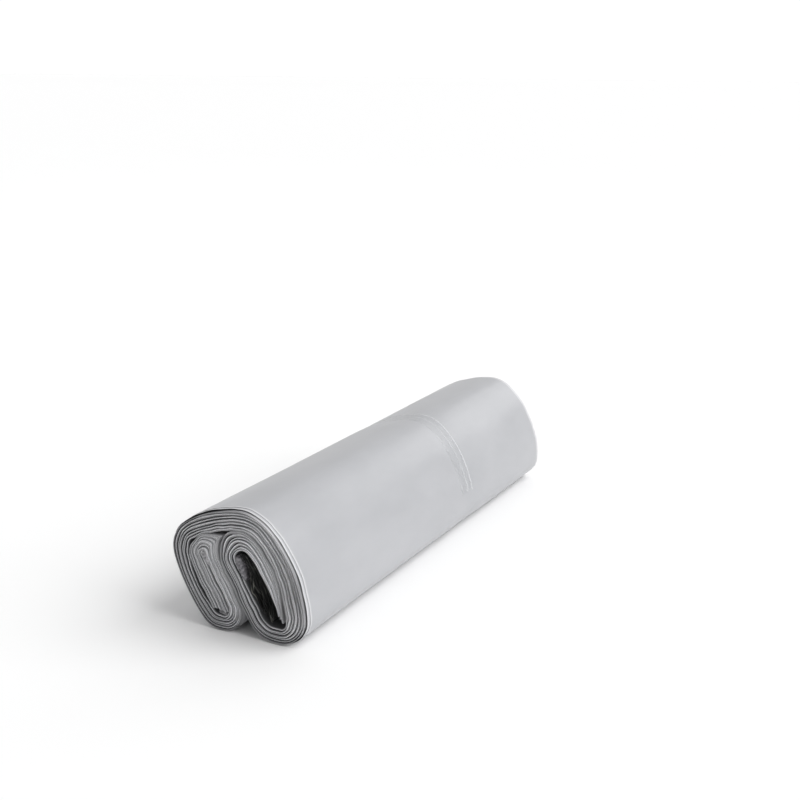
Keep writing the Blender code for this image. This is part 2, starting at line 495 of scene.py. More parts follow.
def measured(station):
    """Note on the station how loose the stack is there, and how much room is outside it."""
    station.loose = looseness(station) * pinch(station)
    station.room = outside(station)
    return station


for station in whole_fold:
    measured(station)
print("thickest at", round(max(s.loose for s in whole_fold), 2), "times the pressed stack")


# %% One film
def bundle_edge(k, station):
    """Depth of the face between two bundles. It drifts along the fold, in step for both."""
    pitch = STACK_THICKNESS / BUNDLES
    if k == 0:
        return OUTER_ROOM * station.room
    if k == BUNDLES:
        return STACK_THICKNESS * station.loose
    drift = ripple(station.travelled / DRIFT_WAVE, k * 3.1, 2.0)
    return pitch * (k + BUNDLE_DRIFT * drift) * station.loose


def pressed_flat(station):
    """0 on the outer turn, 1 in the left scroll."""
    return smooth((station.travelled - OUTSIDE[1]) / ROOM_RAMP)


def gap_share(k, station):
    """In the left scroll most bundles are pressed together and only a few stay parted."""
    return blend(1.0, CORE_GAP_SHARES[k], pressed_flat(station))


def film_depths(k, j, station):
    """Outer and inner depth of film j of bundle k."""
    gap = BUNDLE_GAP * (1.0 + GAP_RIPPLE * ripple(station.travelled / GAP_WAVE, k * 2.3, 6.0))
    gap *= station.loose ** GAP_GROWTH
    top = bundle_edge(k, station) + gap * gap_share(k, station)
    bottom = bundle_edge(k + 1, station) - gap * gap_share(k + 1, station)
    pitch = (bottom - top) / FILMS_PER_BUNDLE
    return top + pitch * j, top + pitch * (j + FILM_SHARE)


def film_end(k, j, end, ragged, station):
    """Where film j of bundle k ends: rounded bundles, ragged films, a slow wave along."""
    stagger = BUNDLE_STAGGER * (k * BUNDLE_STRIDE % BUNDLES) / BUNDLES
    off_middle = abs(2 * (j + 0.5) / FILMS_PER_BUNDLE - 1)
    rounding = BUNDLE_ROUND * off_middle ** 2
    wave = END_WAVE * (0.5 + 0.5 * ripple(station.travelled / END_WAVE_LENGTH, k * 1.7, 5.0 + end))
    return end * (HALF_WIDTH - stagger - rounding - ragged - wave)


# Tone ranges of a bundle's films, outermost first: the bright first films are a painted highlight,
# the near-black last one painted shade between bundles.
FILM_TONES_AND_HIGHLIGHTS = [(1.1, 1.3), (0.85, 1.05), (0.3, 0.5), (0.2, 0.4), (0.0, 0.1)]
OUTER_FILMS, OUTER_TONE = 2, 0.45
EVEN_TONE, EVEN_SHARE = 0.53, 0.40
# Above this looseness the films' tone is darkened: painted shade.
LOOSE_FROM, LOOSE_SHADE = 1.3, 1.3
FOLD_LIGHT = 0.1


def film_tone(k, j):
    """Some films show their pale side at the cut and some their black inner side. The first films
    of each bundle are painted bright as a highlight, and the last one's black side stands for
    painted shade in the gap to the next bundle.
    """
    if k == 0 and j < OUTER_FILMS:
        return OUTER_TONE
    low, high = FILM_TONES_AND_HIGHLIGHTS[j]
    return random.uniform(low, high)


def edge_tone_and_shade(tone, station):
    """Films pressed together look more alike. Loose turns are darkened, painted shade for the
    wider gaps between their films, and in the folds the tone is raised a little.
    """
    shade = (1.0 - LOOSE_SHADE * max(0.0, station.loose - LOOSE_FROM)
             + FOLD_LIGHT * (1.0 - station.room))
    return blend(tone, EVEN_TONE, EVEN_SHARE * pressed_flat(station)) * shade


def film_path(k, j):
    """Stations of one film. At both inner ends each film stops at its own place, so that
    the stack tapers, and a new station is put exactly there."""
    share = (k + (j + 0.5) / FILMS_PER_BUNDLE) / BUNDLES
    first = whole_fold[0].travelled + WALL_TAPER * share + random.uniform(0.0, WALL_SHIFT)
    last = (whole_fold[-1].travelled - CORE_SHORT * (1.0 - share)
            - random.uniform(0.0, CORE_SHIFT))
    between = [s for s in whole_fold if first + CLEAR_STEP < s.travelled < last - CLEAR_STEP]
    return [measured(station_at(first))] + between + [measured(station_at(last))]


FLAT_THICKNESS = 0.1


def add_film(bm, tone_layer, k, j):
    """Film j of bundle k: a flat grid made thick, with each corner carried to its place."""
    path = film_path(k, j)
    columns = len(path) - 1
    made = bmesh.ops.create_grid(bm, x_segments=columns, y_segments=1, size=0.5)
    bm.faces.index_update()
    faces = sorted({f for v in made["verts"] for f in v.link_faces}, key=lambda f: f.index)
    shell = bmesh.ops.solidify(bm, geom=faces, thickness=FLAT_THICKNESS)
    verts = {v for f in faces for v in f.verts}
    verts.update(v for v in shell["geom"] if isinstance(v, bmesh.types.BMVert))
    tone = film_tone(k, j)
    ragged = {-1: random.uniform(0.0, FILM_RAGGED), 1: random.uniform(0.0, FILM_RAGGED)}
    for vert in verts:
        station = path[round((vert.co.x + 0.5) * columns)]
        end = 1 if vert.co.y > 0 else -1
        outer, inner = film_depths(k, j, station)
        depth = inner if vert.co.z < -FLAT_THICKNESS / 2 else outer
        y = film_end(k, j, end, ragged[end], station)
        vert.co = film_point(station, -depth, y)
        vert[tone_layer] = edge_tone_and_shade(tone, station)


# %% Finished pieces
FACE_ORDER_STEP = 1.0e6
SHARP_ANGLE = math.radians(40.0)


def face_order(face):
    """A number of its own for each face, so that every run gives the same order."""
    indices = [vert.index for vert in face.verts]
    return min(indices) * FACE_ORDER_STEP + max(indices)


def finished_piece(bm, name):
    """Turn a bmesh into a smooth object with sharp rims."""
    bm.verts.index_update()
    bm.faces.sort(key=face_order)
    bmesh.ops.recalc_face_normals(bm, faces=bm.faces)
    mesh = bpy.data.meshes.new(name)
    bm.to_mesh(mesh)
    bm.free()
    mesh.shade_smooth()
    mesh.set_sharp_from_angle(angle=SHARP_ANGLE)
    print(name, len(mesh.polygons), "faces")
    return add_object(name, mesh)


def dress(piece, node):
    """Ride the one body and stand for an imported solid, which is hidden."""
    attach(piece, "root")
    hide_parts(node)
    return piece


stack_mesh = bmesh.new()
tone_layer = stack_mesh.verts.layers.float.new("tone")
for k in range(BUNDLES):
    for j in range(FILMS_PER_BUNDLE):
        add_film(stack_mesh, tone_layer, k, j)
film_stack = dress(finished_piece(stack_mesh, "film_stack"), "rolled_mailers")


# %% [markdown]
# The loose outer mailers. The roll's skin is two whole films that stop a few millimetres
# short of the ragged ends, which is why fine rings show there. They need many rows along
# the roll, because this is the surface that the light runs over: it has long shallow
# dents, short buckles towards its free ends, and a waist where the tape pulls it in.

# %% Relief of the skin
SKIN_SAG = 0.02 * MM
SKIN_STEP = 2.4 * MM
ROW_STEP = 3.2 * MM
DENT_SIZE, DENT_BIAS = 0.62 * MM, 0.5
DENT_WAVES = (46.0 * MM, 120.0 * MM)
SMALL_DENTS, SMALL_DENT_WAVES = 0.40, (19.0 * MM, 70.0 * MM)
BUCKLE_SIZE, BUCKLE_WAVES = 0.44 * MM, (11.0 * MM, 50.0 * MM)
BUCKLE_REACH = 40.0 * MM
PULL_SIZE, PULL_WAVES = 0.40 * MM, (10.0 * MM, 90.0 * MM)
PULL_REACH = 46.0 * MM
PULL_SLANT = 0.55
WAIST_SIZE, WAIST_REACH = 0.26 * MM, 16.0 * MM
WAIST_CALMS_DENTS, WAIST_CALMS_PULLS = 0.6, 0.7
TAPE_MIDDLE = TAPE_PLACE - HALF_WIDTH
FILM_THICKNESS = 0.12 * MM

skin_path = stations_along("pocket bottom", "left corner", SKIN_SAG, SKIN_STEP)
skin_start = span_of("pocket bottom")[0]
for station in skin_path:
    station.travelled += skin_start


def waves(s, y, lengths, seed):
    """Soft noise over a sheet, with one wavelength round the roll and one along it."""
    return ripple(s / lengths[0], y / lengths[1], seed)


def relief(station, y):
    """Height of the skin over the fold at one place."""
    s = station.travelled
    dents = waves(s, y, DENT_WAVES, 1.0) + SMALL_DENTS * waves(s, y, SMALL_DENT_WAVES, 2.0)
    near_edge = smooth(1 - (HALF_WIDTH - abs(y)) / BUCKLE_REACH)
    buckles = waves(s, y, BUCKLE_WAVES, 3.0) * near_edge
    from_tape = abs(y - TAPE_MIDDLE)
    slant = s + PULL_SLANT * (y - TAPE_MIDDLE)
    pulls = (0.5 - abs(waves(slant, y, PULL_WAVES, 5.0))) * smooth(1 - from_tape / PULL_REACH)
    waist = math.exp(-(from_tape / WAIST_REACH) ** 2)
    raised = DENT_SIZE * (dents + DENT_BIAS) * (1 - WAIST_CALMS_DENTS * waist)
    raised += BUCKLE_SIZE * buckles + PULL_SIZE * pulls * (1 - WAIST_CALMS_PULLS * waist)
    return (raised - WAIST_SIZE * waist) * smooth(station.point.z / GROUND_CALM)


# %% Where the outermost film ends
TAIL_HEIGHT = 42.5 * MM
TAIL_OVER_SKIN = 0.15 * MM
TAIL_LIFT = 1.15 * MM
TAIL_CURL = 5.0 * MM
TAIL_HELD_REACH = 30.0 * MM
TAIL_WANDER = 1.6 * MM
COVER_SINK = 0.17 * MM
COVER_RAMP = 10.0 * MM

left_side = [s for s in skin_path if s.stretch in ("left shoulder", "left side")]
tail_place = min(left_side, key=lambda s: abs(s.point.z - TAIL_HEIGHT)).travelled
print("free edge at", round(tail_place, 3), "m along the fold")


def covered(station):
    """1 where the tail film lies over the skin."""
    return smooth((station.travelled - tail_place) / COVER_RAMP)


# %% Sheets that follow the fold
UV_PER_METRE = 10.0
SKIN_ROWS = round(2 * HALF_WIDTH / ROW_STEP)
SHEET_END_WAVE, SHEET_WAVE_LENGTH = 0.6 * MM, 40.0 * MM


def add_sheet(name, path, rows, point_of, thickness=FILM_THICKNESS):
    """Grid of one column per station, thickened, with each corner placed by a function.
    Its own map keeps how far round the roll and how far along it each corner lies."""
    bm = bmesh.new()
    columns = len(path) - 1
    bmesh.ops.create_grid(bm, x_segments=columns, y_segments=rows, size=0.5)
    flat_uv = bm.loops.layers.uv.new("flat")
    bmesh.ops.solidify(bm, geom=bm.faces[:], thickness=FLAT_THICKNESS)
    for vert in bm.verts:
        station = path[round((vert.co.x + 0.5) * columns)]
        share = vert.co.y + 0.5
        for loop in vert.link_loops:
            loop[flat_uv].uv = (station.travelled * UV_PER_METRE, share)
        inner = vert.co.z < -FLAT_THICKNESS / 2
        vert.co = point_of(station, share, thickness if inner else 0.0)
    return finished_piece(bm, name)


def sheet_width(share, s, backs, seeds, wave=SHEET_END_WAVE):
    """Place along the roll, between two edges that lie back from its ends and wander."""
    near, far = (end * (HALF_WIDTH - back - wave * ripple(s / SHEET_WAVE_LENGTH, seed, 4.0))
                 for end, back, seed in zip((-1, 1), backs, seeds))
    return blend(near, far, share)


def skin_height(station, y):
    """The skin, which sinks a little where the tail film lies over it."""
    return relief(station, y) - COVER_SINK * covered(station)


def skin_sheet(name, depth, backs, seeds):
    """One of the two whole films of the outer turn."""
    def point_of(station, share, below):
        y = sheet_width(share, station.travelled, backs, seeds)
        return settle(station.at(skin_height(station, y) - depth - below, y), y)

    return dress(add_sheet(name, skin_path, SKIN_ROWS, point_of), "rolled_mailers")


outer_mailer = skin_sheet("outer_mailer", 0.02 * MM, (5.6 * MM, 3.4 * MM), (1.0, 4.0))
second_mailer = skin_sheet("second_mailer", 0.25 * MM, (2.6 * MM, 1.6 * MM), (6.0, 9.0))

# %% [markdown]
# The free edge. The last mailer of the stack slips round under the left lobe and stops
# on the left side. Its edge stands off a little along the whole roll, and only the tape
# holds it down.


# %% The tail film
TAIL_BACKS, TAIL_END_WAVE = (3.9 * MM, 5.2 * MM), 0.5 * MM
LIFT_WAVE, FINE_LIFT_WAVE, WANDER_WAVE = 55.0 * MM, 16.0 * MM, 85.0 * MM


def tail_point(station, share, below):
    """Over the skin, lifted towards the free edge except where the tape holds it."""
    s = station.travelled
    y = sheet_width(share, s, TAIL_BACKS, (11.0, 14.0), TAIL_END_WAVE)
    from_edge = max(0.0, s - tail_place)
    held = math.exp(-((y - TAPE_MIDDLE) / TAIL_HELD_REACH) ** 2)
    lift = TAIL_LIFT * math.exp(-from_edge / TAIL_CURL) * (1 - held)
    lift *= (0.75 + 0.45 * ripple(y / LIFT_WAVE, 0.0, 8.0)
             + 0.25 * ripple(y / FINE_LIFT_WAVE, 0.0, 9.0))
    height = skin_height(station, y) + TAIL_OVER_SKIN + lift - below
    wander = (TAIL_WANDER * ripple(y / WANDER_WAVE, 0.0, 15.0)
              * math.exp(-from_edge / (2 * TAIL_CURL)))
    return settle(station.at(height, y) + ahead_of(station) * wander, y)


tail_path = [s for s in skin_path if s.travelled >= tail_place]
tail_mailer = add_sheet("tail_mailer", tail_path, SKIN_ROWS, tail_point)
dress(tail_mailer, "rolled_mailers")

# %% [markdown]
# Inside the pocket. The mailers are black on their inner side, and the innermost one is
# turned out and pushed into the hollow in many upright folds, so the photograph shows a
# dark opening with a few glints. It is one sheet that goes up and down the pocket in a
# serpentine. Three more films end in soft grey knobs: one high in the pocket, one in the
# middle of the left scroll and one at its foot. Each is a loose tube whose near end is
# drawn together.

# %% Curves for crumpled film
POCKET_LOW = turns["pocket bottom"][0] + across(POCKET_TURN - turns["pocket bottom"][1])
CORE_LOW = turns["core end"][0] - along(CORE_TAIL)
CRUMPLE_ROWS = 60
CREASE_WAVES, CREASE_DEPTH = (9.0 * MM, 22.0 * MM), 1.6
FINE_CREASE_WAVES, FINE_CREASE_DEPTH = (4.5 * MM, 10.0 * MM), 0.7
RAGGED_WAVE = 6.0 * MM


def smooth_curve(points, pieces):
    """Points along the Catmull-Rom curve through a few given ones."""
    places = []
    last = len(points) - 1
    for i in range(last):
        before, here = points[max(i - 1, 0)], points[i]
        there, after = points[i + 1], points[min(i + 2, last)]
        for k in range(pieces):
            t = k / pieces
            places.append([0.5 * (2 * b + (c - a) * t + (2 * a - 5 * b + 4 * c - d) * t * t
                                  + (3 * b - a - 3 * c + d) * t ** 3)
                           for a, b, c, d in zip(before, here, there, after)])
    places.append(list(points[last]))
    return places


def curve_stations(low, points, pieces):
    """Stations along a curve whose points lie across and along a leaning scroll."""
    places = [low + across(a * MM) + along(u * MM) for a, u in smooth_curve(points, pieces)]
    stations = []
    travelled = 0.0
    for i, place in enumerate(places):
        ahead = places[min(i + 1, len(places) - 1)] - places[max(i - 1, 0)]
        if i:
            travelled += (place - places[i - 1]).length
        stations.append(Station(place, math.atan2(-ahead.x, ahead.z), travelled, "film"))
    return stations


def crease(s, y, seed):
    """Folded noise: flat panels that meet in sharp valleys."""
    broad = abs(waves(s, y, CREASE_WAVES, seed))
    fine = abs(waves(s, y, FINE_CREASE_WAVES, seed + 4))
    return 1.0 - CREASE_DEPTH * broad - FINE_CREASE_DEPTH * fine


# %% Crumpled films
def crumpled_sheet(name, low, points, back, ragged, size, seed, nose=0.0, pieces=5):
    """Film along a curve, creased all over. With a nose, its near end draws together."""
    path = curve_stations(low, points, pieces)
    centre = sum((s.point for s in path), Vector()) / len(path)

    def point_of(station, share, below):
        s = station.travelled
        near = -HALF_WIDTH + back + ragged * (0.5 + ripple(s / RAGGED_WAVE, seed, 1.0))
        far = HALF_WIDTH - back - ragged * (0.5 + ripple(s / RAGGED_WAVE, seed, 2.0))
        y = blend(near, far, 0.5 - 0.5 * math.cos(math.pi * share))  # rows crowd at the ends
        place = station.at(size * crease(s, y, seed) - below, y)
        if nose:
            open_share = math.sqrt(max(0.0, 1.0 - max(0.0, 1.0 - (y - near) / nose) ** 2))
            place = Vector((centre.x, y, centre.z)).lerp(place, open_share)
            place.y -= size * crease(s, y + seed, seed + 9) * (1.0 - open_share)
        return settle(place, y)

    return dress(add_sheet(name, path, CRUMPLE_ROWS, point_of), "rolled_mailers")


# Curves of the crumpled films, in mm across and along the lean of their scroll.
LINER_FOLDS = 9
LINER_FROM, LINER_TO = -4.2, 41.0
LINER_LEFT, LINER_RIGHT, LINER_BULGE = -5.0, 4.8, 3.8
LINER_MAKES_ROOM = 5.2
LINER_HEIGHTS = [0.0, 0.14, 0.34, 0.54, 0.74, 0.92, 1.0]
LINER_SHIFT_ACROSS, LINER_SHIFT_ALONG = 0.38, 0.9
LINER_TURNS_KEPT = 0.7


def liner_points():
    """Up and down the pocket, in folds that crowd together at both of its ends. The upper
    part keeps to the right, to leave room for the pale knob."""
    points = []
    for fold in range(LINER_FOLDS):
        share = (fold + 0.5) / LINER_FOLDS
        for t in LINER_HEIGHTS if fold % 2 == 0 else reversed(LINER_HEIGHTS):
            roundness = math.sqrt(max(0.08, 1.0 - (2 * t - 1) ** 4))
            right = LINER_RIGHT + LINER_BULGE * math.sin(math.pi * t)
            left = LINER_LEFT + LINER_MAKES_ROOM * smooth((t - 0.5) / 0.2)
            a = blend(left, right, share) * roundness
            a += random.uniform(-LINER_SHIFT_ACROSS, LINER_SHIFT_ACROSS)
            u = blend(LINER_FROM, LINER_TO, t)
            u += random.uniform(-LINER_SHIFT_ALONG, LINER_SHIFT_ALONG)
            if 0.0 < t < 1.0 or random.random() < LINER_TURNS_KEPT:
                points.append((a, u))
    return points


PALE_KNOB = [(-7.2, 24.6), (-7.4, 31.0), (-7.5, 38.5), (-6.2, 42.4), (-3.0, 42.6), (-1.2, 39.4),
             (-2.0, 34.6), (-3.4, 29.4), (-5.2, 25.0), (-7.1, 25.0)]
CORE_ROLL = [(0.2, 27.5), (-0.9, 31.0), (-1.2, 35.2), (0.4, 37.6), (2.8, 36.8), (3.9, 33.4),
             (3.4, 29.6), (1.8, 26.8), (0.3, 27.3)]
CORE_KNOB = [(-9.5, -1.4), (-6.5, -3.2), (-3.5, -5.2), (-1.2, -7.4), (-2.6, -8.2), (-5.0, -6.8),
             (-7.6, -4.8), (-9.8, -2.8), (-9.6, -1.5)]
pocket_liner = crumpled_sheet("pocket_liner", POCKET_LOW, liner_points(), 0.9 * MM, 2.6 * MM,
                              0.30 * MM, 21.0, pieces=3)
pale_knob = crumpled_sheet("pale_knob", POCKET_LOW, PALE_KNOB, 0.5 * MM, 0.6 * MM,
                           0.85 * MM, 33.0, nose=1.8 * MM)
core_roll = crumpled_sheet("core_roll", CORE_LOW, CORE_ROLL, 0.15 * MM, 0.3 * MM,
                           0.30 * MM, 58.0, nose=1.4 * MM)
core_knob = crumpled_sheet("core_knob", CORE_LOW, CORE_KNOB, 1.2 * MM, 0.8 * MM,
                           0.30 * MM, 47.0, nose=3.0 * MM)

# %% [markdown]
# The tape. One strip of clear tape runs over the top from the right side to the left
# side, past the free edge. It was torn on a toothed blade, so its two ends are zigzag,
# and it bridges the skin's dents with a few fine puckers.

# %% Clear tape
TAPE_RIGHT_SHARE = 0.88
TAPE_LEFT_SHARE = 0.55
TAPE_FILM = 0.06 * MM
TAPE_LIFT = 0.09 * MM
TAPE_TEETH = 14
TOOTH_SIZE = 0.55 * MM
TAIL_STEP, TAIL_STEP_RUN = 0.16 * MM, 3.0 * MM
TAPE_WANDER, TAPE_WANDER_WAVE = 0.25 * MM, 50.0 * MM
PUCKER_SIZE, PUCKER_WAVES = 0.05 * MM, (6.0 * MM, 20.0 * MM)

side_span = [s.travelled for s in skin_path if s.stretch == "right side"]
left_span = [s.travelled for s in skin_path if s.stretch == "left side"]
tape_from = blend(max(side_span), min(side_span), TAPE_RIGHT_SHARE)
tape_to = blend(min(left_span), max(left_span), TAPE_LEFT_SHARE)
tape_path = [s for s in skin_path if tape_from <= s.travelled <= tape_to]


def tape_point(station, share, below):
    """Over the skin, stepping up where it runs onto the tail film."""
    s = station.travelled
    y = TAPE_MIDDLE + TAPE_WIDTH * (share - 0.5)
    y += TAPE_WANDER * ripple(s / TAPE_WANDER_WAVE, 0.0, 12.0)
    over_tail = smooth((s - tail_place) / TAIL_STEP_RUN + 1)
    pucker = PUCKER_SIZE * abs(waves(s, y, PUCKER_WAVES, 13.0))
    height = skin_height(station, y) + TAPE_LIFT + TAIL_STEP * over_tail + pucker - below
    tooth = TOOTH_SIZE * abs((share * TAPE_TEETH) % 1 * 2 - 1)
    place = station.at(height, y)
    if station is tape_path[0]:
        place -= ahead_of(station) * tooth
    elif station is tape_path[-1]:
        place += ahead_of(station) * tooth
    return settle(place, y)


tape = add_sheet("clear_tape_strip", tape_path, TAPE_TEETH * 2, tape_point, TAPE_FILM)
dress(tape, "closing_tape")

# %% [markdown]
# Materials. All the film takes its small relief from one node group, so that its parts
# look cut from the same roll: faint mottling from uneven thickness, long drag lines that
# run with the roll, and short crinkles. Each material then sets its own colours, shine
# and depth. The group reads Object coordinates, because every piece sits at the origin.

# %% Node helpers
def add_node(tree, kind, **settings):
    node = tree.nodes.new(kind)
    for name, value in settings.items():
        setattr(node, name, value)
    return node


def feed(tree, value, socket):
    """Link another node's output to a socket, or set a fixed value on it."""
    if isinstance(value, bpy.types.NodeSocket):
        tree.links.new(value, socket)
    else:
        socket.default_value = value


def feed_all(tree, node, values):
    """Feed several inputs of one node, each under its name or number."""
    for key, value in values.items():
        feed(tree, value, node.inputs[key])


def mix_colours(tree, factor, first, second):
    node = add_node(tree, "ShaderNodeMix", data_type="RGBA")
    feed_all(tree, node, {"Factor": factor, 6: first, 7: second})
    return node.outputs[2]


def remap(tree, source, start=0.0, end=1.0, low=0.0, high=1.0, **settings):
    """Map the range from start to end onto the range from low to high."""
    node = add_node(tree, "ShaderNodeMapRange", clamp=True, **settings)
    feed_all(tree, node, {"Value": source, "From Min": start, "From Max": end,
                          "To Min": low, "To Max": high})
    return node.outputs["Result"]


def stretched(tree, vector, scale, turn=(0.0, 0.0, 0.0), kind="POINT"):
    node = add_node(tree, "ShaderNodeMapping", vector_type=kind)
    feed_all(tree, node, {"Vector": vector, "Rotation": turn, "Scale": scale})
    return node.outputs["Vector"]


def noise_value(tree, vector, scale, detail, roughness):
    texture = add_node(tree, "ShaderNodeTexNoise")
    feed_all(tree, texture, {"Vector": vector, "Scale": scale, "Detail": detail,
                             "Roughness": roughness})
    return texture.outputs["Fac"]


def combine(tree, kind, *values):
    node = add_node(tree, "ShaderNodeMath", operation=kind)
    feed_all(tree, node, dict(enumerate(values)))
    return node.outputs["Value"]


def parts_of(tree, vector):
    node = add_node(tree, "ShaderNodeSeparateXYZ")
    feed(tree, vector, node.inputs["Vector"])
    return node.outputs


def new_group(name, vector_name, values, results):
    """Node group with one vector input, some number inputs with their starting values, and
    some number outputs. Returns the group, its inputs and its outputs."""
    group = bpy.data.node_groups.new(name, "ShaderNodeTree")
    group.interface.new_socket(vector_name, in_out="INPUT", socket_type="NodeSocketVector")
    for value_name, start in values.items():
        socket = group.interface.new_socket(value_name, in_out="INPUT",
                                            socket_type="NodeSocketFloat")
        socket.default_value = start
    for result in results:
        group.interface.new_socket(result, in_out="OUTPUT", socket_type="NodeSocketFloat")
    return (group, add_node(group, "NodeGroupInput").outputs,
            add_node(group, "NodeGroupOutput").inputs)


# %% Film crinkle group
ALONG_SHARE = 0.45
DRAG_LINES, DRAG_SHARE = (1.0, 0.07, 1.0), 0.14

film_crinkle, given, wanted = new_group("film crinkle", "Vector",
                                        {"Crinkle Scale": 170.0, "Crinkle Share": 0.5},
                                        ("Height", "Mottle", "Facets"))
longer = stretched(film_crinkle, given["Vector"], (1.0, ALONG_SHARE, 1.0))
lines = stretched(film_crinkle, given["Vector"], DRAG_LINES)
mottle = noise_value(film_crinkle, longer, 26.0, 4.0, 0.55)
drag = noise_value(film_crinkle, lines, 240.0, 2.0, 0.5)
soft = noise_value(film_crinkle, longer, given["Crinkle Scale"], 1.5, 0.5)
facets = add_node(film_crinkle, "ShaderNodeTexVoronoi", feature="F1")
feed_all(film_crinkle, facets, {"Vector": longer, "Scale": given["Crinkle Scale"]})
folded = combine(film_crinkle, "MULTIPLY", facets.outputs["Distance"], given["Crinkle Share"])
height = combine(film_crinkle, "ADD", combine(film_crinkle, "ADD", soft, folded),
                 combine(film_crinkle, "MULTIPLY", drag, DRAG_SHARE))
for value, socket in zip((height, mottle, facets.outputs["Distance"]), wanted):
    feed(film_crinkle, value, socket)
print("film crinkle:", len(film_crinkle.nodes), "nodes")

# %% Rim group
# Its mask is 1 along the two long edges of a sheet and 0 inside them.
sheet_rim, given, wanted = new_group("sheet rim", "Flat Map", {"Rim From": 0.45, "Rim To": 0.5},
                                     ("Rim",))
from_middle = combine(sheet_rim, "SUBTRACT", parts_of(sheet_rim, given["Flat Map"])["Y"], 0.5)
feed(sheet_rim, remap(sheet_rim, combine(sheet_rim, "ABSOLUTE", from_middle),
                      given["Rim From"], given["Rim To"]), wanted["Rim"])
print("sheet rim:", len(sheet_rim.nodes), "nodes")


def add_rim(tree, rim_from, rim_to):
    """The sheet's own map, and the mask along its long edges."""
    flat_map = add_node(tree, "ShaderNodeUVMap", uv_map="flat").outputs["UV"]
    rim = add_node(tree, "ShaderNodeGroup", node_tree=sheet_rim)
    feed_all(tree, rim, {"Flat Map": flat_map, "Rim From": rim_from, "Rim To": rim_to})
    return flat_map, rim.outputs["Rim"]


# %% Start of every material
def new_material(name, crinkle_scale, crinkle_share, bump_strength, bump_distance, roughness):
    """Principled surface with the film crinkle feeding its bump and its roughness."""
    material = bpy.data.materials.new(name)
    material.use_nodes = True
    tree = material.node_tree
    tree.nodes.clear()
    surface = add_node(tree, "ShaderNodeBsdfPrincipled")
    output = add_node(tree, "ShaderNodeOutputMaterial")
    feed(tree, surface.outputs["BSDF"], output.inputs["Surface"])
    place = add_node(tree, "ShaderNodeTexCoord").outputs["Object"]
    crinkle = add_node(tree, "ShaderNodeGroup", node_tree=film_crinkle)
    feed_all(tree, crinkle, {"Vector": place, "Crinkle Scale": crinkle_scale,
                             "Crinkle Share": crinkle_share})
    bump = add_node(tree, "ShaderNodeBump")
    feed_all(tree, bump, {"Strength": bump_strength, "Distance": bump_distance,
                          "Height": crinkle.outputs["Height"]})
    feed_all(tree, surface, {"Normal": bump.outputs["Normal"], "Roughness": remap(
        tree, crinkle.outputs["Mottle"], low=roughness[0], high=roughness[1])})
    print("material:", name)
    return material, tree, surface, crinkle.outputs, place


FILM_IOR = 1.51

# %% Grey film
# Pale grey outside, with a paler band along the cut or sealed ends of each bag: a painted
# highlight.
PAINTED_EDGE_HIGHLIGHT = (0.56, 0.56, 0.575, 1)

grey_film, tree, surface, crinkle, place = new_material("grey film", 55.0, 0.10, 0.5, 0.6 * MM,
                                                        (0.24, 0.40))
colour = mix_colours(tree, crinkle["Mottle"], (0.33, 0.335, 0.352, 1), (0.44, 0.445, 0.463, 1))
flat_map, rim = add_rim(tree, 0.4945, 0.4985)
feed_all(tree, surface, {"Base Color": mix_colours(tree, rim, colour, PAINTED_EDGE_HIGHLIGHT),
                         "IOR": FILM_IOR})
for piece in (outer_mailer, second_mailer, tail_mailer):
    piece.data.materials.append(grey_film)

# %% Black inner film
# Near the pocket's mouth its folds catch the light as thin streaks that lean with the roll.
STREAK_SCALE = (1.0, 3.0, 7.0)
STREAK_LIGHT = (0.36, 0.36, 0.325, 1)

black_film, tree, surface, crinkle, place = new_material("black film", 190.0, 0.9, 0.6, 0.6 * MM,
                                                         (0.20, 0.40))
colour = mix_colours(tree, crinkle["Mottle"], (0.008, 0.008, 0.009, 1), (0.034, 0.034, 0.032, 1))
flat_map, rim = add_rim(tree, 0.455, 0.50)
streaks = stretched(tree, place, STREAK_SCALE, (0.0, -LEAN, 0.0), "TEXTURE")
lit = remap(tree, noise_value(tree, streaks, 430.0, 1.0, 0.5), 0.54, 0.72)
colour = mix_colours(tree, combine(tree, "MULTIPLY", rim, lit), colour, STREAK_LIGHT)
feed_all(tree, surface, {"Base Color": colour, "IOR": FILM_IOR})
pocket_liner.data.materials.append(black_film)


# %% Crumpled grey knobs
def crumpled_film(name, dark, pale, pieces):
    """Film turned inside out and creased. Its colour follows the crinkle, darker in the hollows
    and paler on the raised panels: painted shade and painted highlight.
    """
    material, tree, surface, crinkle, place = new_material(name, 620.0, 1.0, 1.0, 0.6 * MM,
                                                           (0.28, 0.45))
    feed(tree, mix_colours(tree, crinkle["Facets"], dark, pale), surface.inputs["Base Color"])
    for piece in pieces:
        piece.data.materials.append(material)


crumpled_film("crumpled film", (0.075, 0.073, 0.080, 1), (0.32, 0.31, 0.33, 1), [pale_knob])
crumpled_film("core film", (0.20, 0.20, 0.21, 1), (0.50, 0.49, 0.51, 1), [core_roll, core_knob])

# %% Cut ends of the film
film_ends, tree, surface, crinkle, place = new_material("film ends", 220.0, 0.5, 0.25, 0.3 * MM,
                                                        (0.34, 0.50))
# The tone attribute carries the films' own greys together with their painted highlight and painted
# shade.
tone = add_node(tree, "ShaderNodeAttribute", attribute_name="tone").outputs["Fac"]
shade = combine(tree, "MULTIPLY", tone, remap(tree, crinkle["Mottle"], low=0.8, high=1.2))
colour = mix_colours(tree, shade, (0.055, 0.055, 0.06, 1), (0.94, 0.94, 0.965, 1))
feed(tree, colour, surface.inputs["Base Color"])
film_stack.data.materials.append(film_ends)

# %% Clear tape
# Almost clear in the middle. Its far edge and one crease that runs slantwise show as bright lines:
# painted highlights in its colour and alpha.
TAPE_CREASE = 0.04
CREASE_FROM, CREASE_TO = 0.42, 0.58
NEAR_RIM_SHARE = 0.35

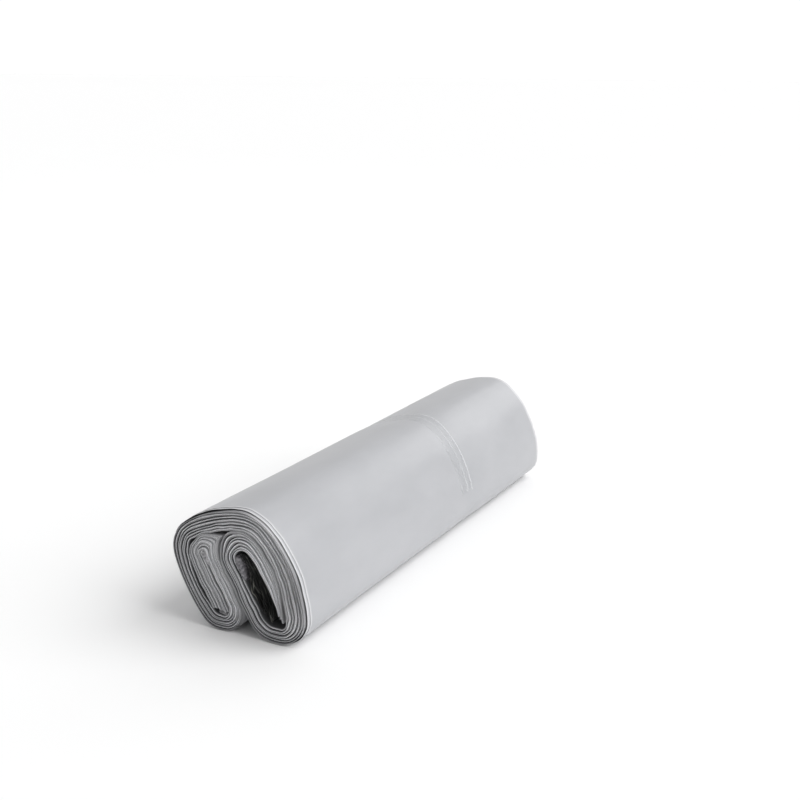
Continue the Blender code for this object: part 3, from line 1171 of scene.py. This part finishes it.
clear_tape, tree, surface, crinkle, place = new_material("clear tape", 90.0, 0.2, 0.25, 0.3 * MM,
                                                         (0.14, 0.26))
flat_map, rim = add_rim(tree, 0.42, 0.46)
parts = parts_of(tree, flat_map)
crease_line = remap(tree, parts["X"], tape_to * UV_PER_METRE, tape_from * UV_PER_METRE,
                    CREASE_FROM, CREASE_TO, interpolation_type="SMOOTHSTEP")
beside = combine(tree, "ABSOLUTE", combine(tree, "SUBTRACT", parts["Y"], crease_line))
crease_glint = remap(tree, beside, TAPE_CREASE, 0.0)
rim = combine(tree, "MULTIPLY", rim, remap(tree, parts["Y"], low=NEAR_RIM_SHARE, high=1.0))
glint = combine(tree, "MAXIMUM", rim, crease_glint)
colour = mix_colours(tree, glint, (0.46, 0.48, 0.485, 1), (0.93, 0.94, 0.95, 1))
feed_all(tree, surface, {"Base Color": colour, "Alpha": remap(tree, glint, low=0.035, high=0.27)})
tape.data.materials.append(clear_tape)

# %% [markdown]
# The stage. A white floor under white light that comes mostly from the right and from
# above, as in the photograph: the side and the top of the roll are light, and the end
# that faces the camera is left in a soft shade.

# %% Floor, world and lamps
FLOOR_SIZE = 30.0
SKY_NEAR, SKY_FAR = 0.30, 0.85
SEEN_SKY = 1.05

floor_mesh = bmesh.new()
bmesh.ops.create_grid(floor_mesh, x_segments=1, y_segments=1, size=FLOOR_SIZE / 2)
floor_data = bpy.data.meshes.new("floor")
floor_mesh.to_mesh(floor_data)
floor_mesh.free()
floor = add_object("floor", floor_data)
floor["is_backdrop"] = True
floor_paint = bpy.data.materials.new("white floor")
floor_paint.use_nodes = True
paint = floor_paint.node_tree.nodes["Principled BSDF"]
paint.inputs["Base Color"].default_value = (0.93, 0.93, 0.93, 1)
paint.inputs["Roughness"].default_value = 0.8
floor_data.materials.append(floor_paint)

world = bpy.data.worlds.new("white room")
world.use_nodes = True
sky = world.node_tree.nodes["Background"]
sky.inputs["Color"].default_value = (1.0, 1.0, 1.0, 1.0)
sky_tree = world.node_tree
direction = add_node(sky_tree, "ShaderNodeTexCoord").outputs["Generated"]
room = remap(sky_tree, parts_of(sky_tree, direction)["Y"], -1.0, 1.0, SKY_NEAR, SKY_FAR,
             interpolation_type="SMOOTHSTEP")
seen = add_node(sky_tree, "ShaderNodeLightPath").outputs["Is Camera Ray"]
strength = add_node(sky_tree, "ShaderNodeMix")
feed_all(sky_tree, strength, {"Factor": seen, 2: room, 3: SEEN_SKY})
feed(sky_tree, strength.outputs[0], sky.inputs["Strength"])
bpy.context.scene.world = world
bpy.context.scene.view_settings.view_transform = "Standard"


def add_sun(name, towards, power, spread):
    """Even light over the whole floor, soft because its disc is wide."""
    data = bpy.data.lights.new(name, "SUN")
    data.energy = power
    data.angle = math.radians(spread)
    lamp = add_object(name, data)
    lamp.matrix_world = Vector(towards).to_track_quat("Z", "Y").to_matrix().to_4x4()
    print(name, power, "W per square metre")


def add_softbox(name, place, power, width, height):
    """Bright panel that the film mirrors as a streak along its shoulder."""
    data = bpy.data.lights.new(name, "AREA")
    data.shape = "RECTANGLE"
    data.energy = power
    data.size, data.size_y = width, height
    lamp = add_object(name, data)
    turned = Vector(place).to_track_quat("Z", "Y").to_matrix().to_4x4()
    lamp.matrix_world = Matrix.Translation(place) @ turned
    print(name, power, "W,", width, "by", height, "m")


add_sun("key_light", (0.80, 0.20, 0.75), 2.4, 60.0)
add_softbox("far_softbox", (0.35, 2.3, 0.95), 3.4, 1.5, 0.5)

# %% Sizes, and the end
[[list(corner) for corner in box] for box in (cad_box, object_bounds())]
